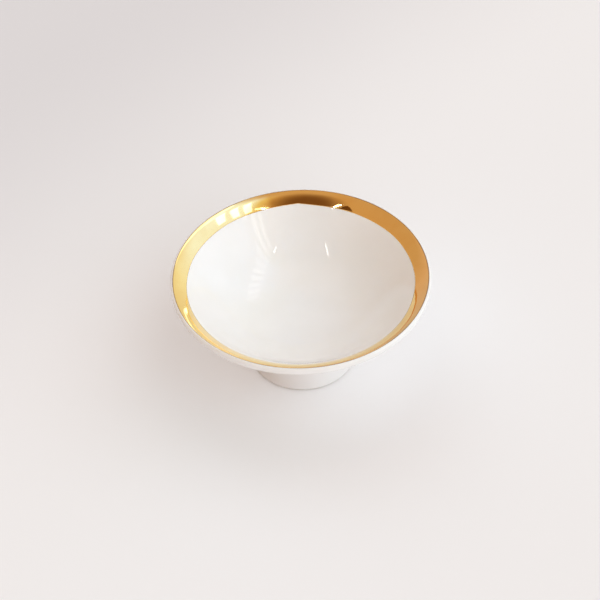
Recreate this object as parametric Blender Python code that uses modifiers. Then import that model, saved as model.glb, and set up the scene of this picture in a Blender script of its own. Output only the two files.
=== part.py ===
"""A footed porcelain bowl with a wide gold band inside its rim.

Four fired pieces stand on one another: a hollow foot, a ring of luting slip, the bowl and the band
of gold. Every piece is turned about Z. The origin is at the centre of the foot's resting plane.
Units are metres.
"""

import math

import bpy

# The whole object
RIM_RADIUS = 0.060
HEIGHT = 0.052
GAP = 0.0003

# How finely the sections are drawn, and how many rounds a search takes
SEGMENTS = 72
WALL_POINTS = 12
BAND_POINTS = 5
FOOT_POINTS = 7
SLIP_POINTS = 4
ROUNDING_POINTS = 5
SEARCH_ROUNDS = 40
MERGE_DISTANCE = 0.00001

# The inside of the bowl: a rounded floor, a belly and a lip that flares out to a round bead
BEAD_RADIUS = 0.00105
FLOOR_HEIGHT = 0.0217
BELLY_RADIUS = 0.0353
BELLY_HEIGHT = 0.0315
BELLY_ANGLE = math.radians(37.6)
LIP_ANGLE = math.radians(22.5)
FLOOR_FULLNESS = (0.36, 0.36)
FLARE_FULLNESS = (0.41, 0.21)

# The wall under that inside
WALL_AT_LIP = 0.0033
WALL_AT_FLOOR = 0.0034
LOWER_LIP_RADIUS = 0.0010

# The gold band: from the top of the bead down the inside of the wall
BAND_INNER_RADIUS = 0.0526
BAND_THICKNESS = 0.0003

# The foot: a hollow flared ring under the bowl
FOOT_BASE_RADIUS = 0.0250
FOOT_TOP_RADIUS = 0.0215
FOOT_WALL = 0.0030
FOOT_EDGE_ROUNDING = 0.0007
FOOT_FLARE_POWER = 1.8

# The slip: a thin layer between foot and bowl that spreads a little past the foot's wall
SLIP_THICKNESS = 0.0006
SLIP_SPREAD = 0.0009

COLLECTION_NAME = "footed_porcelain_bowl"
ROOT_NAME = "bowl_origin"

BEAD_CENTRE = (RIM_RADIUS - BEAD_RADIUS, HEIGHT - BEAD_RADIUS)
MEETING_ANGLE = math.pi / 2 + LIP_ANGLE
MEETING_RADIUS = BEAD_CENTRE[0] + BEAD_RADIUS * math.cos(MEETING_ANGLE)
MEETING_HEIGHT = BEAD_CENTRE[1] + BEAD_RADIUS * math.sin(MEETING_ANGLE)


def curve_between(start, start_angle, end, end_angle, fullness):
    """Control points of a Bezier curve that leaves start and reaches end at these angles."""
    leave, reach = (share * math.dist(start, end) for share in fullness)
    first = (start[0] + leave * math.cos(start_angle), start[1] + leave * math.sin(start_angle))
    second = (end[0] - reach * math.cos(end_angle), end[1] - reach * math.sin(end_angle))
    return (start, first, second, end)


BELLY = (BELLY_RADIUS, BELLY_HEIGHT)
MEETING = (MEETING_RADIUS, MEETING_HEIGHT)
FLOOR_CURVE = curve_between((0.0, FLOOR_HEIGHT), 0.0, BELLY, BELLY_ANGLE, FLOOR_FULLNESS)
FLARE_CURVE = curve_between(BELLY, BELLY_ANGLE, MEETING, LIP_ANGLE, FLARE_FULLNESS)


def on_curve(curve, share, axis):
    """One coordinate of a Bezier curve: axis 0 is the radius and axis 1 the height."""
    a, b, c, d = (point[axis] for point in curve)
    rest = 1.0 - share
    return rest**3 * a + 3 * rest**2 * share * b + 3 * rest * share**2 * c + share**3 * d


def along_curve(curve, share, axis):
    """How fast that coordinate grows along the curve."""
    a, b, c, d = (point[axis] for point in curve)
    rest = 1.0 - share
    return 3 * rest**2 * (b - a) + 6 * rest * share * (c - b) + 3 * share**2 * (d - c)


def inside_at(radius):
    """Height and slope of the inside of the bowl at this radius, carried straight on past the lip."""
    curve = FLOOR_CURVE if radius < BELLY_RADIUS else FLARE_CURVE
    low, high = 0.0, 1.0
    for _ in range(SEARCH_ROUNDS):
        middle = (low + high) / 2
        if on_curve(curve, middle, 0) < radius:
            low = middle
        else:
            high = middle
    slope = along_curve(curve, low, 1) / along_curve(curve, low, 0)
    beyond = radius - on_curve(curve, low, 0)
    return on_curve(curve, low, 1) + beyond * slope, slope


def steps_between(start, end, count):
    """Evenly spaced values from start to end, both included."""
    return [start + (end - start) * i / (count - 1) for i in range(count)]


def wall_point(radius, depth=0.0):
    """A point this deep in the wall, measured square to the inside of the bowl."""
    height, slope = inside_at(radius)
    length = math.hypot(slope, 1.0)
    return (radius + depth * slope / length, height - depth / length)


def bead_point(angle, depth=0.0):
    """A point this deep under the surface of the bead at the lip."""
    reach = BEAD_RADIUS - depth
    return (BEAD_CENTRE[0] + reach * math.cos(angle), BEAD_CENTRE[1] + reach * math.sin(angle))


def wall_thickness(radius):
    """Thickness of the wall, which is thinnest at the lip."""
    return WALL_AT_FLOOR + (WALL_AT_LIP - WALL_AT_FLOOR) * radius / RIM_RADIUS


def outer_point(radius, clearance=0.0):
    """The point of the outside, or of a surface just below it, opposite this radius of the inside."""
    return wall_point(radius, wall_thickness(radius) + clearance)


def radius_under(outer_radius, clearance=0.0):
    """Inside radius whose opposite point on the outside lies at outer_radius."""
    radius = outer_radius
    for _ in range(SEARCH_ROUNDS):
        radius += outer_radius - outer_point(radius, clearance)[0]
    return radius


def arc(centre, radius, start, end):
    """Points of an arc, with angles from +X."""
    angles = steps_between(start, end, ROUNDING_POINTS)
    return [(centre[0] + radius * math.cos(a), centre[1] + radius * math.sin(a)) for a in angles]


def lower_lip_arc():
    """The rounded corner where the upright face of the lip turns under into the outer wall."""
    corner_radius = radius_under(RIM_RADIUS)
    corner = outer_point(corner_radius)
    tilt = math.atan(inside_at(corner_radius)[1])
    setback = LOWER_LIP_RADIUS * math.tan((math.pi / 2 - tilt) / 2)
    centre = (RIM_RADIUS - LOWER_LIP_RADIUS, corner[1] + setback)
    return arc(centre, LOWER_LIP_RADIUS, 0.0, tilt - math.pi / 2)


def bowl_profile():
    """Half section of the bowl, from the middle of its floor over the lip to the underside."""
    seat_depth = BAND_THICKNESS + GAP
    seat_radius = BAND_INNER_RADIUS - GAP
    seat_angle = math.pi / 2 - GAP / BEAD_RADIUS
    seat_radii = steps_between(seat_radius, MEETING_RADIUS, BAND_POINTS)
    seat_angles = steps_between(MEETING_ANGLE, seat_angle, ROUNDING_POINTS)[1:]
    inside = [wall_point(r) for r in steps_between(0.0, seat_radius, WALL_POINTS)]
    seat = [wall_point(r, seat_depth) for r in seat_radii]
    seat += [bead_point(a, seat_depth) for a in seat_angles]
    lip = [bead_point(a) for a in steps_between(seat_angle, 0.0, ROUNDING_POINTS)]
    corner = lower_lip_arc()
    outer_start = radius_under(corner[-1][0])
    outside = [outer_point(r) for r in steps_between(outer_start, 0.0, WALL_POINTS)[1:]]
    return inside + seat + lip + corner + outside


def band_profile():
    """Closed section of the band: its face is flush with the glaze on either side of it."""
    wall_radii = steps_between(BAND_INNER_RADIUS, MEETING_RADIUS, BAND_POINTS)
    bead_angles = steps_between(MEETING_ANGLE, math.pi / 2, ROUNDING_POINTS)[1:]
    face = [wall_point(r) for r in wall_radii] + [bead_point(a) for a in bead_angles]
    back = [wall_point(r, BAND_THICKNESS) for r in wall_radii]
    back += [bead_point(a, BAND_THICKNESS) for a in bead_angles]
    return face + back[::-1]


def foot_height_at(radius):
    """Height of the foot's top edge at this radius: it is cut to the slope of the bowl above it."""
    clearance = 2 * GAP + SLIP_THICKNESS
    return outer_point(radius_under(radius, clearance), clearance)[1]


def foot_outside(share):
    """A point of the foot's outer face, from its top (0) to its resting edge (1)."""
    top = foot_height_at(FOOT_TOP_RADIUS)
    flare = (FOOT_BASE_RADIUS - FOOT_TOP_RADIUS) * share**FOOT_FLARE_POWER
    return (FOOT_TOP_RADIUS + flare, top + (FOOT_EDGE_ROUNDING - top) * share)


def foot_profile():
    """Closed section of the foot, down its outer face, across its resting edge and up inside."""
    rounding = FOOT_EDGE_ROUNDING
    outside = [foot_outside(s) for s in steps_between(0.0, 1.0, FOOT_POINTS)]
    outer_centre = (FOOT_BASE_RADIUS - rounding, rounding)
    inner_centre = (FOOT_BASE_RADIUS - FOOT_WALL + rounding, rounding)
    outer_edge = arc(outer_centre, rounding, 0.0, -math.pi / 2)[1:]
    inner_edge = arc(inner_centre, rounding, -math.pi / 2, -math.pi)
    inside = [(r - FOOT_WALL, z) for r, z in outside[::-1]][1:-1]
    top_radius = FOOT_TOP_RADIUS - FOOT_WALL
    top = [(top_radius, foot_height_at(top_radius))]
    return outside + outer_edge + inner_edge + inside + top


def slip_profile():
    """Closed section of the slip: it is wider against the bowl than against the foot."""
    inner_radius = FOOT_TOP_RADIUS - FOOT_WALL
    clearance = GAP + SLIP_THICKNESS
    upper = steps_between(inner_radius - SLIP_SPREAD, FOOT_TOP_RADIUS + SLIP_SPREAD, SLIP_POINTS)
    lower = steps_between(FOOT_TOP_RADIUS, inner_radius, SLIP_POINTS)
    above = [outer_point(radius_under(r, GAP), GAP) for r in upper]
    below = [outer_point(radius_under(r, clearance), clearance) for r in lower]
    return above + below


def material(name, colour, roughness, metallic=0.0, coat=0.0):
    """A plain Principled material."""
    made = bpy.data.materials.new(name)
    made.use_nodes = True
    shader = made.node_tree.nodes["Principled BSDF"]
    shader.inputs["Base Color"].default_value = (*colour, 1.0)
    shader.inputs["Roughness"].default_value = roughness
    shader.inputs["Metallic"].default_value = metallic
    shader.inputs["Coat Weight"].default_value = coat
    made.diffuse_color = (*colour, 1.0)
    return made


def glazed_porcelain():
    return material("glazed_porcelain", (0.88, 0.86, 0.83), 0.12, coat=1.0)


def foot_porcelain():
    return material("foot_porcelain", (0.87, 0.85, 0.82), 0.14, coat=1.0)


def fired_slip():
    return material("fired_slip", (0.84, 0.81, 0.77), 0.35)


def bright_gold():
    return material("bright_gold", (0.83, 0.53, 0.20), 0.12, metallic=1.0)


def clear_scene():
    for item in list(bpy.data.objects):
        bpy.data.objects.remove(item, do_unlink=True)


def turned(name, profile, closed, surface, collection, parent):
    """An object turned about Z from a half section at +X."""
    count = len(profile)
    edges = [(i, i + 1) for i in range(count - 1)]
    if closed:
        edges.append((count - 1, 0))
    mesh = bpy.data.meshes.new(name)
    mesh.from_pydata([(r, 0.0, z) for r, z in profile], edges, [])
    mesh.materials.append(surface)
    piece = bpy.data.objects.new(name, mesh)
    collection.objects.link(piece)
    piece.parent = parent
    screw = piece.modifiers.new("turn", "SCREW")
    screw.axis = "Z"
    screw.angle = 2 * math.pi
    screw.steps = SEGMENTS
    screw.render_steps = SEGMENTS
    screw.use_merge_vertices = True
    screw.merge_threshold = MERGE_DISTANCE
    screw.use_smooth_shade = True
    return piece


def build():
    clear_scene()
    collection = bpy.data.collections.new(COLLECTION_NAME)
    bpy.context.scene.collection.children.link(collection)
    root = bpy.data.objects.new(ROOT_NAME, None)
    root.empty_display_size = RIM_RADIUS
    collection.objects.link(root)
    turned("bowl_shell", bowl_profile(), False, glazed_porcelain(), collection, root)
    turned("gold_band", band_profile(), True, bright_gold(), collection, root)
    turned("luting_slip", slip_profile(), True, fired_slip(), collection, root)
    turned("pedestal_foot", foot_profile(), True, foot_porcelain(), collection, root)


build()
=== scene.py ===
"""Looks of the footed porcelain bowl: glaze, unglazed foot edge and fired gold band.

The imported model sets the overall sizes. Each of its four nodes gets a finely turned piece that stands
in the same place. Lengths are metres, +Z is up and the bowl's axis is the Z axis.
"""

import math

import bmesh
import bpy
from mathutils import Matrix, Vector


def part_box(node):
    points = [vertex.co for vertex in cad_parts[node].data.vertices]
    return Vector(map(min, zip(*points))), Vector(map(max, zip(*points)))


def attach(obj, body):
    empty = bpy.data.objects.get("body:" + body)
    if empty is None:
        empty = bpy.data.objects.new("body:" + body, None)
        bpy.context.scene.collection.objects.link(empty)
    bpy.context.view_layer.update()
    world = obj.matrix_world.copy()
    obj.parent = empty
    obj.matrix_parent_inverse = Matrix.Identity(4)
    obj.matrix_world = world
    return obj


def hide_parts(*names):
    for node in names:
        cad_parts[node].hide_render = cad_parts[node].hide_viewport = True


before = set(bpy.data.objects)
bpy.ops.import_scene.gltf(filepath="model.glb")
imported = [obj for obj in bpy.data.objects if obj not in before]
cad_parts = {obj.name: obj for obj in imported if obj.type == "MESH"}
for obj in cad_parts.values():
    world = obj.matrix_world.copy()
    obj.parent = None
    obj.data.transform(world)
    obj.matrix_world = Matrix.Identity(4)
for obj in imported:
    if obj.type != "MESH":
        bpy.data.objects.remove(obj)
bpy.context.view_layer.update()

# ---------------------------------------------------------------- sizes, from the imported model
BOWL_LOW, BOWL_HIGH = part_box("bowl_shell")
FOOT_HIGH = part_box("pedestal_foot")[1]
BAND_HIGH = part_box("gold_band")[1]
SLIP_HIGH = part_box("luting_slip")[1]
RIM_RADIUS = BOWL_HIGH.x
CREST_RADIUS = BAND_HIGH.x
FOOT_BASE_RADIUS = FOOT_HIGH.x
UNDERSIDE_HEIGHT = BOWL_LOW.z
SLIP_RADIUS = SLIP_HIGH.x

# Film of gold over the glaze, and how far the top of the glaze stays below the box
FILM = 0.00004
CREST_HEIGHT = BAND_HIGH.z - FILM
BEAD_RADIUS = RIM_RADIUS - CREST_RADIUS

# The inside of the bowl, as in the design: floor, belly and flared lip
WALL_AT_FLOOR = 0.0034
WALL_AT_LIP = 0.0033
FLOOR_HEIGHT = UNDERSIDE_HEIGHT + WALL_AT_FLOOR
BELLY = (0.0353, 0.0315)
BELLY_ANGLE = math.radians(37.6)
LIP_ANGLE = math.radians(22.5)
FLOOR_FULLNESS = (0.36, 0.36)
FLARE_FULLNESS = (0.41, 0.21)
LOWER_LIP_RADIUS = 0.0010

# The lower edge of the gold, how far it wavers by hand, and the peak in it
BAND_INNER_RADIUS = 0.0526
BAND_LEAN = -0.00012
BAND_SLOW_WAVER = 0.00008
BAND_QUICK_WAVER = 0.00004
PEAK_ANGLE = math.radians(90.0)
PEAK_HEIGHT = 0.00065
PEAK_SPREAD = math.radians(7.0)

# The foot
FOOT_WALL = 0.0030
FOOT_TOP_RADIUS = 0.0215
FOOT_FLARE_POWER = 1.8
FOOT_EDGE_ROUNDING = 0.0007
JOIN_FILLET = 0.0016
JOIN_SKIN = 0.00002
JOIN_LAP = 0.0002

# How finely the pieces are turned
SEGMENTS = 360
FINE = 90
SHORT = 14
BAND_ROWS = 24
ON_AXIS = 1e-7
HALVINGS = 40

BEAD_CENTRE = (CREST_RADIUS, CREST_HEIGHT - BEAD_RADIUS)
MEETING_ANGLE = math.pi / 2 + LIP_ANGLE
MEETING = (
    BEAD_CENTRE[0] + BEAD_RADIUS * math.cos(MEETING_ANGLE),
    BEAD_CENTRE[1] + BEAD_RADIUS * math.sin(MEETING_ANGLE),
)


# ---------------------------------------------------------------- the section of the bowl
def curve_between(start, start_angle, end, end_angle, fullness):
    """Control points of a Bezier curve that leaves start and reaches end at these angles."""
    leave, reach = (share * math.dist(start, end) for share in fullness)
    first = (start[0] + leave * math.cos(start_angle), start[1] + leave * math.sin(start_angle))
    second = (end[0] - reach * math.cos(end_angle), end[1] - reach * math.sin(end_angle))
    return (start, first, second, end)


FLOOR_CURVE = curve_between((0.0, FLOOR_HEIGHT), 0.0, BELLY, BELLY_ANGLE, FLOOR_FULLNESS)
FLARE_CURVE = curve_between(BELLY, BELLY_ANGLE, MEETING, LIP_ANGLE, FLARE_FULLNESS)


def on_curve(curve, share, axis):
    """One coordinate of a Bezier curve: axis 0 is the radius and axis 1 the height."""
    a, b, c, d = (point[axis] for point in curve)
    rest = 1.0 - share
    return rest**3 * a + 3 * rest**2 * share * b + 3 * rest * share**2 * c + share**3 * d


def along_curve(curve, share, axis):
    """How fast that coordinate grows along the curve."""
    a, b, c, d = (point[axis] for point in curve)
    rest = 1.0 - share
    return 3 * rest**2 * (b - a) + 6 * rest * share * (c - b) + 3 * share**2 * (d - c)


def halving(wanted, function):
    """The share between 0 and 1 at which a growing function reaches the wanted value."""
    low, high = 0.0, 1.0
    for _ in range(HALVINGS):
        middle = (low + high) / 2
        if function(middle) < wanted:
            low = middle
        else:
            high = middle
    return low


def inside_at(radius):
    """Height and slope of the inside of the bowl at this radius, carried straight on past its end."""
    curve = FLOOR_CURVE if radius < BELLY[0] else FLARE_CURVE
    share = halving(radius, lambda s: on_curve(curve, s, 0))
    slope = along_curve(curve, share, 1) / along_curve(curve, share, 0)
    beyond = radius - on_curve(curve, share, 0)
    return on_curve(curve, share, 1) + beyond * slope, slope


def steps_between(start, end, count):
    """Evenly spaced values from start to end, both included."""
    return [start + (end - start) * i / (count - 1) for i in range(count)]


def wall_point(radius, depth=0.0):
    """A point this deep in the wall, measured square to the inside of the bowl."""
    height, slope = inside_at(radius)
    length = math.hypot(slope, 1.0)
    return (radius + depth * slope / length, height - depth / length)


def bead_point(angle, depth=0.0):
    """A point this deep under the surface of the bead at the lip."""
    reach = BEAD_RADIUS - depth
    return (BEAD_CENTRE[0] + reach * math.cos(angle), BEAD_CENTRE[1] + reach * math.sin(angle))


def outer_point(radius):
    """The point of the outside opposite this radius of the inside."""
    thickness = WALL_AT_FLOOR + (WALL_AT_LIP - WALL_AT_FLOOR) * radius / RIM_RADIUS
    return wall_point(radius, thickness)


def radius_under(outer_radius):
    """Inside radius whose opposite point on the outside lies at outer_radius."""
    radius = outer_radius
    for _ in range(HALVINGS):
        radius += outer_radius - outer_point(radius)[0]
    return radius


def arc(centre, radius, start, end, count=SHORT):
    """Points of an arc, with angles from +X."""
    angles = steps_between(start, end, count)
    return [(centre[0] + radius * math.cos(a), centre[1] + radius * math.sin(a)) for a in angles]


def lower_lip_arc():
    """The rounded corner where the upright face of the lip turns under into the outer wall."""
    corner_radius = radius_under(RIM_RADIUS)
    corner = outer_point(corner_radius)
    tilt = math.atan(inside_at(corner_radius)[1])
    setback = LOWER_LIP_RADIUS * math.tan((math.pi / 2 - tilt) / 2)
    centre = (RIM_RADIUS - LOWER_LIP_RADIUS, corner[1] + setback)
    return arc(centre, LOWER_LIP_RADIUS, 0.0, tilt - math.pi / 2)


def bowl_profile():
    """Half section of the bowl, from the middle of its floor over the lip to the underside."""
    inside = [wall_point(r) for r in steps_between(0.0, MEETING[0], FINE)]
    lip = [bead_point(a) for a in steps_between(MEETING_ANGLE, 0.0, 2 * SHORT)][1:]
    corner = lower_lip_arc()
    outer_start = radius_under(corner[-1][0])
    outside = [outer_point(r) for r in steps_between(outer_start, 0.0, FINE)][1:]
    return inside + lip + corner + outside


# ---------------------------------------------------------------- turning
def ring_of_corners(shape, ring_at, row):
    """One row of a turned mesh: a ring of corners, or a single one on the axis."""
    start = ring_at(row, 0.0)
    if start[0] < ON_AXIS:
        return [shape.verts.new((0.0, 0.0, start[1]))]
    ring = []
    for k in range(SEGMENTS):
        angle = 2 * math.pi * k / SEGMENTS
        radius, height = ring_at(row, angle)
        place = (radius * math.cos(angle), radius * math.sin(angle), height)
        ring.append(shape.verts.new(place))
    return ring


def join_rings(shape, upper, lower):
    """Faces between two neighbouring rows, with triangles where one of them is a single corner."""
    for k in range(SEGMENTS):
        n = (k + 1) % SEGMENTS
        corners = [upper[k % len(upper)], lower[k % len(lower)]]
        if len(lower) > 1:
            corners.append(lower[n])
        if len(upper) > 1:
            corners.append(upper[n])
        shape.faces.new(corners)


def turned(name, ring_at, rows, closed):
    """A mesh turned about Z. ring_at(row, angle) gives radius and height.

    A closed one also joins its last row to its first.
    """
    mesh = bpy.data.meshes.new(name)
    shape = bmesh.new()
    rings = [ring_of_corners(shape, ring_at, row) for row in range(rows)]
    pairs = list(zip(rings, rings[1:]))
    if closed:
        pairs.append((rings[-1], rings[0]))
    for upper, lower in pairs:
        join_rings(shape, upper, lower)
    bmesh.ops.recalc_face_normals(shape, faces=shape.faces)
    shape.to_mesh(mesh)
    shape.free()
    mesh.shade_smooth()
    piece = bpy.data.objects.new(name, mesh)
    bpy.context.scene.collection.objects.link(piece)
    return piece


def turned_profile(name, profile, closed):
    return turned(name, lambda row, angle: profile[row], len(profile), closed)


# ---------------------------------------------------------------- the four pieces
def make_bowl():
    return turned_profile("glazed_bowl", bowl_profile(), False)


def foot_outside(share, top_height):
    """A point of the foot's outer face, from its top (0) to its resting edge (1)."""
    flare = (FOOT_BASE_RADIUS - FOOT_TOP_RADIUS) * share**FOOT_FLARE_POWER
    height = top_height + (FOOT_EDGE_ROUNDING - top_height) * share
    return (FOOT_TOP_RADIUS + flare, height)


def make_foot():
    """The hollow foot. Its top edge follows the slope of the bowl above it."""
    top = FOOT_HIGH.z
    rounding = FOOT_EDGE_ROUNDING
    outside = [foot_outside(s, top) for s in steps_between(0.0, 1.0, 3 * SHORT)]
    outer_edge = arc((FOOT_BASE_RADIUS - rounding, rounding), rounding, 0.0, -math.pi / 2)[1:]
    inner_centre = (FOOT_BASE_RADIUS - FOOT_WALL + rounding, rounding)
    inner_edge = arc(inner_centre, rounding, -math.pi / 2, -math.pi)
    inner_drop = top - outer_height(FOOT_TOP_RADIUS) + outer_height(FOOT_TOP_RADIUS - FOOT_WALL)
    inside = [(r - FOOT_WALL, z) for r, z in outside[::-1] if z < inner_drop][1:]
    inside.append((FOOT_TOP_RADIUS - FOOT_WALL, inner_drop))
    return turned_profile("pedestal_ring", outside + outer_edge + inner_edge + inside, True)


def outer_height(outer_radius):
    """Height of the bowl's underside at this radius."""
    return outer_point(radius_under(outer_radius))[1]


def cove(wall_radius, side):
    """Points of a hollow curve from the bowl's underside in to the foot's wall, ending upright."""
    tip_radius = wall_radius + side * (SLIP_RADIUS - FOOT_TOP_RADIUS)
    tip_height = outer_height(tip_radius) - JOIN_SKIN
    foot_height = min(FOOT_HIGH.z - JOIN_LAP, outer_height(wall_radius) - JOIN_FILLET)
    points = []
    for sweep in steps_between(0.0, math.pi / 2, SHORT):
        radius = tip_radius + (wall_radius - tip_radius) * math.sin(sweep)
        height = tip_height + (foot_height - tip_height) * (1 - math.cos(sweep))
        points.append((radius, height))
    return points


def make_join():
    """The luted join: a ring that sweeps in a cove from the foot's wall to the bowl, on both sides."""
    inner_radius = FOOT_TOP_RADIUS - FOOT_WALL
    outer = cove(FOOT_TOP_RADIUS, 1.0)
    inner = cove(inner_radius, -1.0)[::-1]
    top_radii = steps_between(inner[-1][0], outer[0][0], SHORT)[1:-1]
    top = [(r, outer_height(r) - JOIN_SKIN) for r in top_radii]
    return turned_profile("luted_join", outer + inner + top, True)


def band_inner_radius(angle):
    """Radius of the band's lower edge. It wavers, and peaks where the brush met its own start."""
    away = abs((angle - PEAK_ANGLE + math.pi) % (2 * math.pi) - math.pi)
    peak = PEAK_HEIGHT * math.exp(-away / PEAK_SPREAD)
    slow = BAND_SLOW_WAVER * math.sin(3 * angle + 0.6)
    quick = BAND_QUICK_WAVER * math.sin(11 * angle + 1.9)
    lean = BAND_LEAN * math.cos(angle)
    return BAND_INNER_RADIUS + slow + quick + lean + peak


def make_band():
    """The film of gold: its face lies one film's thickness above the glaze."""
    bead_angles = steps_between(MEETING_ANGLE, math.pi / 2, SHORT)[1:]
    rows = 2 * (BAND_ROWS + len(bead_angles))

    def ring_at(row, angle):
        back = row >= rows // 2
        place = rows - 1 - row if back else row
        lift = -0.5 * FILM if back else FILM
        if place >= BAND_ROWS:
            return bead_point(bead_angles[place - BAND_ROWS], -lift)
        start = band_inner_radius(angle)
        radius = start + (MEETING[0] - start) * place / (BAND_ROWS - 1)
        return wall_point(radius, -lift)

    return turned("gilt_band", ring_at, rows, True)


# ---------------------------------------------------------------- materials
def new_material(name):
    made = bpy.data.materials.new(name)
    made.use_nodes = True
    return made, made.node_tree, made.node_tree.nodes["Principled BSDF"]


def node(tree, kind, **inputs):
    """A shader node with its inputs set by name; spaces in names are written as underscores."""
    made = tree.nodes.new(kind)
    for key, value in inputs.items():
        made.inputs[key.replace("_", " ")].default_value = value
    return made


def noise(tree, scale, detail=2.0, roughness=0.5, vector=None):
    """Noise in object space."""
    made = node(tree, "ShaderNodeTexNoise", Scale=scale, Detail=detail, Roughness=roughness)
    if vector is None:
        vector = tree.nodes.new("ShaderNodeTexCoord").outputs["Object"]
    tree.links.new(vector, made.inputs["Vector"])
    return made.outputs["Fac"]


def ramp(tree, value, low, high, low_colour, high_colour):
    """Two colours mixed by where a value lies between low and high."""
    made = tree.nodes.new("ShaderNodeValToRGB")
    made.color_ramp.elements[0].position = low
    made.color_ramp.elements[0].color = (*low_colour, 1.0)
    made.color_ramp.elements[1].position = high
    made.color_ramp.elements[1].color = (*high_colour, 1.0)
    tree.links.new(value, made.inputs["Fac"])
    return made.outputs["Color"]


def spread_between(tree, value, low, high, to_low, to_high):
    """A value carried from one range to another and kept inside it."""
    made = node(tree, "ShaderNodeMapRange", From_Min=low, From_Max=high)
    made.inputs["To Min"].default_value = to_low
    made.inputs["To Max"].default_value = to_high
    tree.links.new(value, made.inputs["Value"])
    return made.outputs["Result"]


def object_place(tree):
    """The separated position of a point of a piece, in the piece's own space."""
    place = tree.nodes.new("ShaderNodeTexCoord").outputs["Object"]
    split = tree.nodes.new("ShaderNodeSeparateXYZ")
    tree.links.new(place, split.inputs["Vector"])
    return split


def flat_distance(tree, split):
    """Distance from the bowl's axis, from a separated position."""
    flat = tree.nodes.new("ShaderNodeCombineXYZ")
    tree.links.new(split.outputs["X"], flat.inputs["X"])
    tree.links.new(split.outputs["Y"], flat.inputs["Y"])
    length = tree.nodes.new("ShaderNodeVectorMath")
    length.operation = "LENGTH"
    tree.links.new(flat.outputs["Vector"], length.inputs[0])
    return length.outputs["Value"]


def bump(tree, height, distance, strength=1.0, under=None):
    made = node(tree, "ShaderNodeBump", Strength=strength, Distance=distance)
    tree.links.new(height, made.inputs["Height"])
    if under is not None:
        tree.links.new(under, made.inputs["Normal"])
    return made.outputs["Normal"]


# Colours at the two ends of the porcelain's faint clouds, the foot's slightly darker copy of them as
# painted shade, then the glaze over it
GLAZE_LOW = (0.84, 0.835, 0.825)
GLAZE_HIGH = (0.86, 0.855, 0.85)
FOOT_SHADED_LOW = (0.82, 0.81, 0.80)
FOOT_SHADED_HIGH = (0.84, 0.83, 0.825)
GLAZE_ROUGHNESS = (0.025, 0.045)
GLAZE_RIPPLE = 0.000003
GLAZE_SKIN = 0.0000003
GLAZE_INDEX = 1.5
PORCELAIN_DEPTHS = (0.004, 0.0035, 0.003)
PORCELAIN_GLOW = 0.12

# The unglazed resting edge of the foot
SAND_DARK = (0.55, 0.49, 0.42)
SAND_PALE = (0.72, 0.67, 0.60)
SAND_GRAIN = 2600.0
SAND_ROUGHNESS = 0.7
SAND_FULL_BELOW = 0.6


def glaze(name, bare_below=None, low=GLAZE_LOW, high=GLAZE_HIGH):
    """Clear glaze over white porcelain, with an unglazed edge below a given height."""
    made, tree, shader = new_material(name)
    cloud = noise(tree, 55.0, 3.0)
    colour = ramp(tree, cloud, 0.35, 0.65, low, high)
    rough = spread_between(tree, noise(tree, 140.0), 0.3, 0.7, *GLAZE_ROUGHNESS)
    ripple = bump(tree, noise(tree, 60.0, 1.0), GLAZE_RIPPLE)
    skin = bump(tree, noise(tree, 700.0, 2.0), GLAZE_SKIN, under=ripple)
    tree.links.new(skin, shader.inputs["Normal"])
    shader.inputs["IOR"].default_value = GLAZE_INDEX
    shader.inputs["Specular IOR Level"].default_value = 0.5
    shader.inputs["Subsurface Weight"].default_value = PORCELAIN_GLOW
    shader.inputs["Subsurface Radius"].default_value = PORCELAIN_DEPTHS
    shader.inputs["Subsurface Scale"].default_value = 1.0
    if bare_below is not None:
        colour, rough = bare_edge(tree, colour, rough, bare_below)
    tree.links.new(colour, shader.inputs["Base Color"])
    tree.links.new(rough, shader.inputs["Roughness"])
    return made


def bare_edge(tree, colour, rough, height):
    """Mixes dry, slightly sandy porcelain into the glaze below a height."""
    up = object_place(tree).outputs["Z"]
    bare = spread_between(tree, up, height, height * SAND_FULL_BELOW, 0.0, 1.0)
    sand = ramp(tree, noise(tree, SAND_GRAIN, 4.0), 0.4, 0.6, SAND_DARK, SAND_PALE)
    mix = tree.nodes.new("ShaderNodeMix")
    mix.data_type = "RGBA"
    tree.links.new(bare, mix.inputs["Factor"])
    tree.links.new(colour, mix.inputs["A"])
    tree.links.new(sand, mix.inputs["B"])
    rough_mix = tree.nodes.new("ShaderNodeMix")
    tree.links.new(bare, rough_mix.inputs["Factor"])
    tree.links.new(rough, rough_mix.inputs["A"])
    rough_mix.inputs["B"].default_value = SAND_ROUGHNESS
    return mix.outputs["Result"], rough_mix.outputs["Result"]


# Gold where it is thick and thin, and a dark line over the crest of the lip that is painted shade,
# standing in for the crest's dark grazing reflection
GOLD_BASE = (0.94, 0.71, 0.32)
GOLD_THIN = (0.92, 0.67, 0.285)
GOLD_EDGE_SHADE = (0.34, 0.22, 0.13)
GOLD_EDGE_SHADE_WIDTH = 0.0007
GOLD_ROUGHNESS = (0.03, 0.07)
GOLD_WAVES = 0.00007
GOLD_STROKES = 0.0000022
BRUSH_GRAIN = 2600.0
BRUSH_STRETCH = (("X", 0.04), ("Y", 0.04), ("Z", 1.0))


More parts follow.
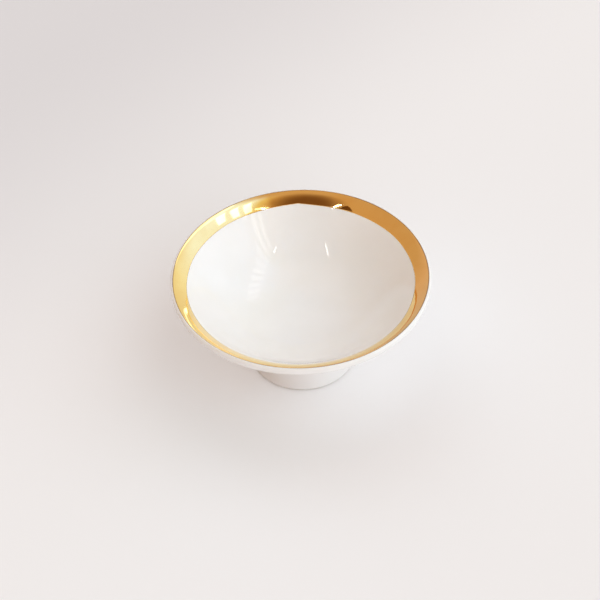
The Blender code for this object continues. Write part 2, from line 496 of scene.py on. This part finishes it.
def gold():
    """Bright fired gold: a mirror with faint lines from the banding wheel."""
    made, tree, shader = new_material("bright_gold_film")
    split = object_place(tree)
    lines = tree.nodes.new("ShaderNodeCombineXYZ")
    for axis, factor in BRUSH_STRETCH:
        scaled = arithmetic(tree, "MULTIPLY", split.outputs[axis], factor)
        tree.links.new(scaled, lines.inputs[axis])
    brush = noise(tree, BRUSH_GRAIN, 2.0, vector=lines.outputs["Vector"])
    patches = noise(tree, 130.0, 3.0)
    body = ramp(tree, patches, 0.35, 0.6, GOLD_THIN, GOLD_BASE)
    # Painted shade: a dark line along the gold's outer edge over the crest, uneven along its length, in
    # place of the crest's grazing reflection of darker surroundings
    edge_start = CREST_RADIUS - GOLD_EDGE_SHADE_WIDTH
    rim = smooth(tree, flat_distance(tree, split), edge_start, CREST_RADIUS)
    patchy_shade = spread_between(tree, noise(tree, 60.0, 2.0), 0.35, 0.6, 0.5, 1.0)
    edge = arithmetic(tree, "MULTIPLY", rim, patchy_shade)
    colour = blend_colours(tree, edge, body, GOLD_EDGE_SHADE)
    rough = spread_between(tree, brush, 0.3, 0.7, *GOLD_ROUGHNESS)
    waves = bump(tree, noise(tree, 110.0, 1.0), GOLD_WAVES)
    strokes = bump(tree, brush, GOLD_STROKES, under=waves)
    tree.links.new(colour, shader.inputs["Base Color"])
    tree.links.new(rough, shader.inputs["Roughness"])
    tree.links.new(strokes, shader.inputs["Normal"])
    shader.inputs["Metallic"].default_value = 1.0
    return made


# The floor near the bowl and far off to the left, where its colour is painted darker as shade, and its
# painted light around the foot
FLOOR_LIT = (0.865, 0.865, 0.885)
FLOOR_DIM = (0.72, 0.71, 0.735)
FLOOR_DIM_SPAN = (0.09, 0.41)
FLOOR_CLOUD = 0.03
FLOOR_WEAVE = 0.00003
FLOOR_ROUGHNESS = 0.9
FLOOR_SHEEN = 0.2
FLOOR_GLOW = 0.09
FLOOR_GLOW_COLOUR = (1.0, 0.98, 0.95)
FLOOR_GLOW_REACH = 0.07
FLOOR_SIZE = 8.0
FLOOR_DROP = 0.0002


def floor_material():
    """Pale matt paper with a faint weave.

    It is painted darker far off to the left as shade where the light falls off. It has painted light
    around the foot, seen only by the camera, standing in for light through the porcelain.
    """
    made, tree, shader = new_material("pale_floor")
    split = object_place(tree)
    across = arithmetic(tree, "SUBTRACT", split.outputs["Y"], split.outputs["X"])
    cloud = arithmetic(tree, "MULTIPLY", noise(tree, 6.0, 2.0), FLOOR_CLOUD)
    # Painted shade: the floor's colour darkens far off to the left
    dim = smooth(tree, arithmetic(tree, "ADD", across, cloud), *FLOOR_DIM_SPAN)
    weave = bump(tree, noise(tree, 900.0, 2.0), FLOOR_WEAVE)
    tree.links.new(blend_colours(tree, dim, FLOOR_LIT, FLOOR_DIM), shader.inputs["Base Color"])
    tree.links.new(weave, shader.inputs["Normal"])
    shader.inputs["Emission Color"].default_value = (*FLOOR_GLOW_COLOUR, 1.0)
    # Painted light: a glow around the foot that only the camera sees
    away = flat_distance(tree, split)
    glow = smooth(tree, away, FLOOR_GLOW_REACH, FOOT_BASE_RADIUS, 0.0, FLOOR_GLOW)
    seen = tree.nodes.new("ShaderNodeLightPath").outputs["Is Camera Ray"]
    tree.links.new(arithmetic(tree, "MULTIPLY", glow, seen), shader.inputs["Emission Strength"])
    shader.inputs["Roughness"].default_value = FLOOR_ROUGHNESS
    shader.inputs["Specular IOR Level"].default_value = FLOOR_SHEEN
    return made


# ---------------------------------------------------------------- the studio
# How far away the lights that only show in reflections are: only their direction counts
FAR_AWAY = 6.0

# The slatted window, with its heights and spacing as shares of that distance
WINDOW_COLOUR = (1.0, 0.985, 0.96)
WINDOW_STRENGTH = 1.8
WINDOW_BARS = 9
WINDOW_PITCH = 0.238
WINDOW_START = -1.075
WINDOW_SHARE = 0.58
WINDOW_HEAD = 1.8
WINDOW_FOOT = 1.14

# Two tubes and a dark stand, as (start, end) places of azimuth and elevation, with widths, in degrees
TUBE_COLOUR = (1.0, 0.99, 0.97)
TUBE_STRENGTH = 15.0
TUBE_WIDTH = 0.8
TUBE_RIGHT = ((-54.5, 52.0), (-47.5, 54.3))
TUBE_LEFT = ((-127.5, 50.4), (-139.5, 55.6))
STAND = ((-136.5, 48.8), (-149.0, 51.4))
STAND_WIDTH = 6.2
STAND_SHADE = (0.24, 0.15, 0.06)

# Patches of light in the gold as (start, end, width, strength), placed in the same way
PANE_COLOUR = (0.9, 0.97, 1.0)
PANES = {
    "pane_near": ((10.8, 58.8), (-7.0, 44.4), 5.8, 1.6),
    "pane_middle": ((-3.4, 62.5), (-21.0, 47.9), 5.0, 1.6),
    "pane_far": ((-18.1, 66.1), (-34.4, 50.8), 4.8, 1.6),
    "sill": ((-40.0, 53.4), (-57.5, 53.3), 1.7, 1.6),
    "edge_low": ((62.0, 42.5), (38.0, 55.5), 14.0, 0.9),
    "edge_high": ((38.0, 55.5), (15.0, 63.5), 14.0, 0.6),
    "notch": ((64.8, 7.0), (62.2, -3.5), 3.2, 1.8),
    "edge_front": ((64.0, 7.5), (74.5, 16.5), 2.4, 1.1),
    "edge_round": ((74.5, 16.5), (92.0, 36.0), 10.0, 1.3),
}

# A patch that shows only in the gold's reflection of the gold across the bowl
FAR_PANE = ((26.0, 41.3), (10.0, 41.3), 4.2)
FAR_PANE_STRENGTH = 5.0

# Light on matt surfaces: an even room and soft lobes as (azimuth, elevation, sharpness, colour)
EVEN_LIGHT = (0.405, 0.194, 0.051)
SOFT_LIGHTS = {
    "low_front": (-90.0, 8.0, 6.0, (0.16, 0.23, 0.29)),
    "low_right": (0.0, 18.0, 6.0, (0.68, 1.07, 1.21)),
    "low_near_right": (-60.0, 18.0, 6.0, (1.24, 1.24, 1.36)),
    "high_right": (30.0, 50.0, 8.0, (0.964, 1.027, 1.159)),
    "high_near_right": (-60.0, 50.0, 8.0, (0.729, 1.130, 1.279)),
    "high_behind": (120.0, 50.0, 8.0, (1.076, 1.422, 1.631)),
}

# The room as the glaze and the gold mirror it: a colour at each azimuth, paler overhead
ROOM_STOPS = {
    "left_wall": (-180.0, (0.65, 0.40, 0.21)),
    "front": (-60.0, (0.68, 0.385, 0.145)),
    "window_frame": (-42.0, (0.87, 0.72, 0.36)),
    "window_start": (-26.0, (1.04, 1.21, 1.48)),
    "window_end": (24.0, (1.04, 1.25, 1.65)),
    "curtain": (48.0, (0.99, 1.01, 0.90)),
    "pale_wall": (68.0, (0.88, 0.82, 0.64)),
    "table_end": (86.0, (0.81, 0.82, 0.97)),
    "shaded_wall": (102.0, (0.63, 0.52, 0.56)),
    "warm_wall": (126.0, (0.72, 0.48, 0.35)),
    "left_again": (142.0, (0.63, 0.40, 0.22)),
    "round_again": (180.0, (0.65, 0.40, 0.21)),
}
CEILING_COLOUR = (0.67, 0.43, 0.24)
CEILING_SPAN = (66.0, 82.0)

# The dark shape of someone over the camera, fading between two angles from its middle
OPERATOR_PLACE = (-100.0, 51.0)
OPERATOR_SPAN = (9.0, 31.0)
OPERATOR_COLOUR = (0.19, 0.08, 0.025)

# The camera: a long lens aimed at a point near the bowl's axis
CAMERA_SENSOR = 36.0
CAMERA_LENS = 96.0
CAMERA_AIM = Vector((-0.00072, 0.0, 0.0352))
CAMERA_AZIMUTH = -90.0
CAMERA_ELEVATION = 44.8
CAMERA_DISTANCE = 0.7466
CAMERA_ROLL = math.radians(-2.05)


def plane(name, width, depth, material):
    """A rectangle about the origin, facing +Z."""
    mesh = bpy.data.meshes.new(name)
    shape = bmesh.new()
    bmesh.ops.create_grid(shape, x_segments=1, y_segments=1, size=0.5)
    bmesh.ops.scale(shape, vec=(width, depth, 1.0), verts=shape.verts)
    shape.to_mesh(mesh)
    shape.free()
    mesh.materials.append(material)
    made = bpy.data.objects.new(name, mesh)
    bpy.context.scene.collection.objects.link(made)
    return made


def glow_material(name, colour, strength, twice=False):
    """Light added to what lies behind it, shown by polished surfaces.

    With twice set, it shows only where one polished surface reflects another.
    """
    made = bpy.data.materials.new(name)
    made.use_nodes = True
    tree = made.node_tree
    tree.nodes.clear()
    light = node(tree, "ShaderNodeEmission")
    light.inputs["Color"].default_value = (*colour, 1.0)
    shown = arithmetic(tree, "MULTIPLY", unscattered(tree), strength)
    if twice:
        depth = tree.nodes.new("ShaderNodeLightPath").outputs["Glossy Depth"]
        shown = arithmetic(tree, "MULTIPLY", shown, arithmetic(tree, "GREATER_THAN", depth, 1.5))
    tree.links.new(shown, light.inputs["Strength"])
    clear = tree.nodes.new("ShaderNodeBsdfTransparent")
    both = tree.nodes.new("ShaderNodeAddShader")
    tree.links.new(light.outputs["Emission"], both.inputs[0])
    tree.links.new(clear.outputs["BSDF"], both.inputs[1])
    out = tree.nodes.new("ShaderNodeOutputMaterial")
    tree.links.new(both.outputs["Shader"], out.inputs["Surface"])
    return made


def shade_material(name, colour):
    """A clear dark film that takes light away from what lies behind it."""
    made = bpy.data.materials.new(name)
    made.use_nodes = True
    tree = made.node_tree
    tree.nodes.clear()
    clear = tree.nodes.new("ShaderNodeBsdfTransparent")
    clear.inputs["Color"].default_value = (*colour, 1.0)
    out = tree.nodes.new("ShaderNodeOutputMaterial")
    tree.links.new(clear.outputs["BSDF"], out.inputs["Surface"])
    return made


def unscattered(tree):
    """1 for a ray that has met only polished surfaces, 0 once a matt one has scattered it."""
    depth = tree.nodes.new("ShaderNodeLightPath").outputs["Diffuse Depth"]
    return arithmetic(tree, "LESS_THAN", depth, 0.5)


def direction(azimuth, elevation, distance):
    """A point seen from the bowl at this azimuth (from +X towards +Y) and elevation, in degrees."""
    a, e = math.radians(azimuth), math.radians(elevation)
    flat = distance * math.cos(e)
    return Vector((flat * math.cos(a), flat * math.sin(a), distance * math.sin(e)))


def only_mirrored(made):
    """Keeps a light out of everything but the glaze's and the gold's reflections."""
    made.visible_camera = False
    made.visible_diffuse = False
    made.visible_shadow = False
    return made


def lights_only(made, pieces):
    """Lets a light fall on these pieces and on nothing else."""
    group = bpy.data.collections.new(f"lit_by_{made.name}")
    for piece in pieces:
        group.objects.link(piece)
    made.light_linking.receiver_collection = group


def strip(name, start, end, width, material):
    """A flat strip of light or dark, seen from the bowl between two (azimuth, elevation) places."""
    first = direction(*start, FAR_AWAY)
    last = direction(*end, FAR_AWAY)
    along = last - first
    towards = -(first + last).normalized()
    across = along.cross(towards).normalized()
    made = plane(name, FAR_AWAY * math.radians(width), along.length, material)
    made.location = (first + last) / 2
    made.rotation_euler = Matrix((across, along.normalized(), towards)).transposed().to_euler()
    return only_mirrored(made)


def make_window(pieces):
    """A slatted window high on the right: upright bars of light, evenly spaced."""
    material = glow_material("window_light", WINDOW_COLOUR, WINDOW_STRENGTH)
    width = WINDOW_PITCH * WINDOW_SHARE * FAR_AWAY
    length = (WINDOW_HEAD - WINDOW_FOOT) * FAR_AWAY
    for k in range(WINDOW_BARS):
        bar = plane(f"window_bar_{k + 1}", width, length, material)
        place = Vector((1.0, WINDOW_START + k * WINDOW_PITCH, (WINDOW_FOOT + WINDOW_HEAD) / 2))
        bar.location = FAR_AWAY * place
        bar.rotation_euler = (math.radians(90), 0.0, math.radians(90))
        lights_only(only_mirrored(bar), pieces)


def make_panes(pieces):
    """The window as the steeper gold shows it, and the pale lines and notch near the gold's edges."""
    for name, (start, end, width, strength) in PANES.items():
        material = glow_material(f"{name}_light", PANE_COLOUR, strength)
        lights_only(strip(name, start, end, width, material), pieces)
    material = glow_material("far_pane_light", PANE_COLOUR, FAR_PANE_STRENGTH, twice=True)
    lights_only(strip("far_pane", *FAR_PANE, material), pieces)


def make_tubes():
    """Two small bright tubes, one each side of the camera, and a dark stand beside one of them."""
    light = glow_material("tube_light", TUBE_COLOUR, TUBE_STRENGTH)
    strip("tube_right", *TUBE_RIGHT, TUBE_WIDTH, light)
    strip("tube_left", *TUBE_LEFT, TUBE_WIDTH, light)
    strip("stand", *STAND, STAND_WIDTH, shade_material("stand_shade", STAND_SHADE))


def smooth(tree, value, low, high, to_low=0.0, to_high=1.0):
    """A value carried from one range to another along a smooth step."""
    result = spread_between(tree, value, low, high, to_low, to_high)
    result.node.interpolation_type = "SMOOTHSTEP"
    return result


def blend_colours(tree, factor, first, second):
    """Two colours, or a colour and a socket, mixed by a factor."""
    mix = tree.nodes.new("ShaderNodeMix")
    mix.data_type = "RGBA"
    tree.links.new(factor, mix.inputs["Factor"])
    for socket, value in (("A", first), ("B", second)):
        if isinstance(value, tuple):
            mix.inputs[socket].default_value = (*value, 1.0)
        else:
            tree.links.new(value, mix.inputs[socket])
    return mix.outputs["Result"]


def closeness(tree, place, towards):
    """How nearly a direction points towards another: the cosine of the angle between them."""
    made = tree.nodes.new("ShaderNodeVectorMath")
    made.operation = "DOT_PRODUCT"
    tree.links.new(place, made.inputs[0])
    made.inputs[1].default_value = towards
    return made.outputs["Value"]


def lobe(tree, place, azimuth, elevation, sharpness, colour):
    """A round soft light on the sky, brightest in one direction."""
    near = closeness(tree, place, direction(azimuth, elevation, 1.0))
    cut = arithmetic(tree, "MAXIMUM", near, 0.0)
    power = arithmetic(tree, "POWER", cut, sharpness)
    made = tree.nodes.new("ShaderNodeVectorMath")
    made.operation = "SCALE"
    made.inputs[0].default_value = colour
    tree.links.new(power, made.inputs["Scale"])
    return made.outputs["Vector"]


def arithmetic(tree, operation, first, second):
    """A sum, product or comparison of a socket and a number or another socket."""
    made = tree.nodes.new("ShaderNodeMath")
    made.operation = operation
    for k, value in enumerate((first, second)):
        if isinstance(value, float):
            made.inputs[k].default_value = value
        else:
            tree.links.new(value, made.inputs[k])
    return made.outputs["Value"]


def soft_light(tree, place):
    """The light that falls on matt surfaces."""
    total = None
    for settings in SOFT_LIGHTS.values():
        light = lobe(tree, place, *settings)
        added = tree.nodes.new("ShaderNodeVectorMath")
        added.operation = "ADD"
        if total is None:
            added.inputs[0].default_value = EVEN_LIGHT
        else:
            tree.links.new(total, added.inputs[0])
        tree.links.new(light, added.inputs[1])
        total = added.outputs["Vector"]
    return total


def azimuth_of(tree, split):
    """The azimuth of a direction as a share of a full turn, 0.5 at +X."""
    angle = arithmetic(tree, "ARCTAN2", split.outputs["Y"], split.outputs["X"])
    return spread_between(tree, angle, -math.pi, math.pi, 0.0, 1.0)


def mirrored_room(tree, place):
    """The room as a polished surface shows it."""
    split = tree.nodes.new("ShaderNodeSeparateXYZ")
    tree.links.new(place, split.inputs["Vector"])
    walls = stops(tree, azimuth_of(tree, split), ROOM_STOPS)
    start, end = (math.sin(math.radians(a)) for a in CEILING_SPAN)
    overhead = smooth(tree, split.outputs["Z"], start, end)
    room = blend_colours(tree, overhead, walls, CEILING_COLOUR)
    shade = closeness(tree, place, direction(*OPERATOR_PLACE, 1.0))
    near, far = (math.cos(math.radians(a)) for a in OPERATOR_SPAN)
    shaded = smooth(tree, shade, far, near)
    return blend_colours(tree, shaded, room, OPERATOR_COLOUR)


def stops(tree, value, settings):
    """A ramp of colours by azimuth, halved so that bright ones fit and doubled again afterwards."""
    made = tree.nodes.new("ShaderNodeValToRGB")
    points = made.color_ramp.elements
    points.remove(points[1])
    for k, (azimuth, colour) in enumerate(settings.values()):
        position = azimuth / 360 + 0.5
        point = points[0] if k == 0 else points.new(position)
        point.position = position
        point.color = (*(c / 2 for c in colour), 1.0)
    tree.links.new(value, made.inputs["Fac"])
    doubled = tree.nodes.new("ShaderNodeVectorMath")
    doubled.operation = "SCALE"
    doubled.inputs["Scale"].default_value = 2.0
    tree.links.new(made.outputs["Color"], doubled.inputs[0])
    return doubled.outputs["Vector"]


def make_world():
    """Soft light for matt surfaces, and the room itself for polished ones."""
    world = bpy.data.worlds.new("soft_room")
    bpy.context.scene.world = world
    world.use_nodes = True
    tree = world.node_tree
    background = tree.nodes["Background"]
    place = tree.nodes.new("ShaderNodeTexCoord").outputs["Generated"]
    glossy = tree.nodes.new("ShaderNodeLightPath").outputs["Is Glossy Ray"]
    mirror = arithmetic(tree, "MULTIPLY", glossy, unscattered(tree))
    colour = blend_colours(tree, mirror, soft_light(tree, place), mirrored_room(tree, place))
    tree.links.new(colour, background.inputs["Color"])


def make_floor():
    floor = plane("floor", FLOOR_SIZE, FLOOR_SIZE, floor_material())
    floor.location.z = -FLOOR_DROP


def make_camera():
    """A long lens nearly 45 degrees above the floor, rolled by two degrees."""
    data = bpy.data.cameras.new("camera")
    data.sensor_width = CAMERA_SENSOR
    data.lens = CAMERA_LENS
    camera = bpy.data.objects.new("camera", data)
    bpy.context.scene.collection.objects.link(camera)
    back = direction(CAMERA_AZIMUTH, CAMERA_ELEVATION, CAMERA_DISTANCE)
    camera.location = CAMERA_AIM + back
    ahead = (CAMERA_AIM - camera.location).normalized()
    side = ahead.cross(Vector((0.0, 0.0, 1.0))).normalized()
    above = side.cross(ahead)
    right = side * math.cos(CAMERA_ROLL) + above * math.sin(CAMERA_ROLL)
    up = above * math.cos(CAMERA_ROLL) - side * math.sin(CAMERA_ROLL)
    turn = Matrix((right, up, -ahead)).transposed()
    camera.rotation_euler = turn.to_euler()
    bpy.context.scene.camera = camera


def add_piece(piece, node_name, material):
    piece.data.materials.append(material)
    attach(piece, "root")
    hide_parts(node_name)


def build():
    bowl = make_bowl()
    foot = make_foot()
    join = make_join()
    band = make_band()
    # The foot's glaze takes the darker colours, painted shade on the foot
    foot_glaze = glaze("foot_glaze", FOOT_EDGE_ROUNDING, FOOT_SHADED_LOW, FOOT_SHADED_HIGH)
    add_piece(bowl, "bowl_shell", glaze("clear_glaze"))
    add_piece(foot, "pedestal_foot", foot_glaze)
    add_piece(join, "luting_slip", glaze("join_glaze"))
    add_piece(band, "gold_band", gold())
    make_floor()
    make_window([bowl, foot, join])
    make_panes([band])
    make_tubes()
    make_world()
    make_camera()
    bpy.context.scene.view_settings.view_transform = "Standard"


build()
